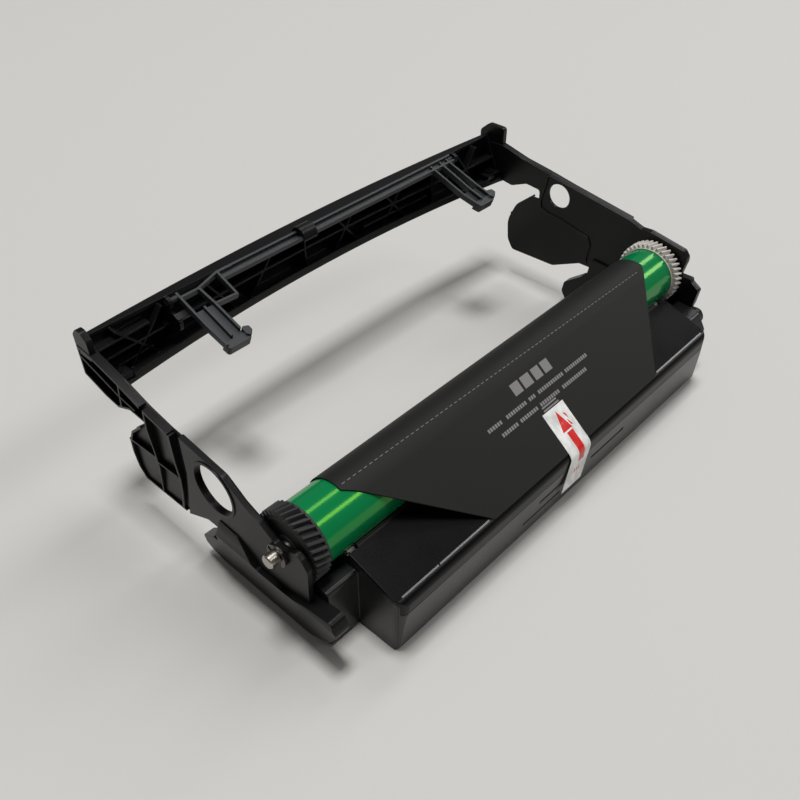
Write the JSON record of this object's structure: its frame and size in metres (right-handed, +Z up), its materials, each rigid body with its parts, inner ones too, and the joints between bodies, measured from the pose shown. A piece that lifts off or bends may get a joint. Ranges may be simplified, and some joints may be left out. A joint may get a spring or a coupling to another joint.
{
  "type": "printer drum unit",
  "caption": "Frame with a green photoconductor drum, end gears, a waste toner box under a protective sheet, and a bowed cross beam with a swinging guide lever.",
  "frame": {"origin": "on the table under the middle of the drum axis, on the underside of the waste toner box", "axes": "+X along the drum axis from the black drive gear to the white gear, +Y from the waste toner box to the cross beam, +Z up"},
  "size_m": [0.2906, 0.1747, 0.097],
  "materials": {
    "frame_plastic": "black moulded plastic, satin",
    "box_plastic": "black moulded plastic, fine grain",
    "cover_plastic": "black moulded plastic, slightly glossier on the front edge",
    "carrier_plastic": "dark moulded plastic",
    "lever_plastic": "dark grey moulded plastic",
    "drum_coating": "green organic photoconductor coating, glossy",
    "gear_black": "black acetal",
    "gear_white": "off-white acetal",
    "shaft_steel": "turned steel",
    "ring_steel": "dark spring steel",
    "spring_steel": "spring steel",
    "screw_steel": "black zinc plated steel",
    "zinc_steel": "zinc plated sheet steel",
    "contact_bronze": "phosphor bronze",
    "blade_rubber": "amber polyurethane",
    "roller_rubber": "conductive rubber",
    "seal_felt": "wool felt",
    "clear_film": "polyester film",
    "bearing_plastic": "conductive black acetal",
    "sheet_card": "dark warm grey coated card",
    "tape_film": "translucent white tape with a red print"
  },
  "bodies": {
    "frame": {"left_side_plate": "frame_plastic", "right_side_plate": "frame_plastic", "rear_cross_beam": "frame_plastic", "waste_box_body": "box_plastic", "waste_box_cover": "cover_plastic", "roller_carrier": "carrier_plastic", "cleaning_blade_bracket": "zinc_steel", "cleaning_blade": "blade_rubber", "blade_screws": "screw_steel", "left_end_seal": "seal_felt", "right_end_seal": "seal_felt", "toner_catch_film": "clear_film", "drum_shaft": "shaft_steel", "left_retaining_ring": "ring_steel", "right_retaining_ring": "ring_steel", "left_charge_bearing": "bearing_plastic", "right_charge_bearing": "bearing_plastic", "left_charge_spring": "spring_steel", "right_charge_spring": "spring_steel", "beam_screws": "screw_steel", "plate_screws": "screw_steel", "protective_sheet": "sheet_card", "tape_strip": "tape_film"},
    "drum": {"drum_tube": "drum_coating", "drum_drive_gear": "gear_black", "drum_end_gear": "gear_white", "drum_ground_contact": "contact_bronze"},
    "charge_roller": {"charge_roller_core": "shaft_steel", "charge_roller_sleeve": "roller_rubber"},
    "lever": {"guide_lever": "lever_plastic"}
  },
  "joints": [
    {"name": "drum_spin", "type": "hinge", "parent": "frame", "child": "drum", "pos_m": [0, 0, 0.046], "axis": [1, 0, 0], "continuous": true},
    {"name": "charge_roller_spin", "type": "hinge", "parent": "frame", "child": "charge_roller", "pos_m": [0, 0.01726, 0.03392], "axis": [1, 0, 0], "continuous": true},
    {"name": "lever_swing", "type": "hinge", "parent": "frame", "child": "lever", "pos_m": [0, 0.118, 0.0855], "axis": [-1, 0, 0], "range_deg": [0, 50]}
  ],
  "couplings": [
    {"joint": "charge_roller_spin", "follows": "drum_spin", "ratio": -2.5}
  ]
}
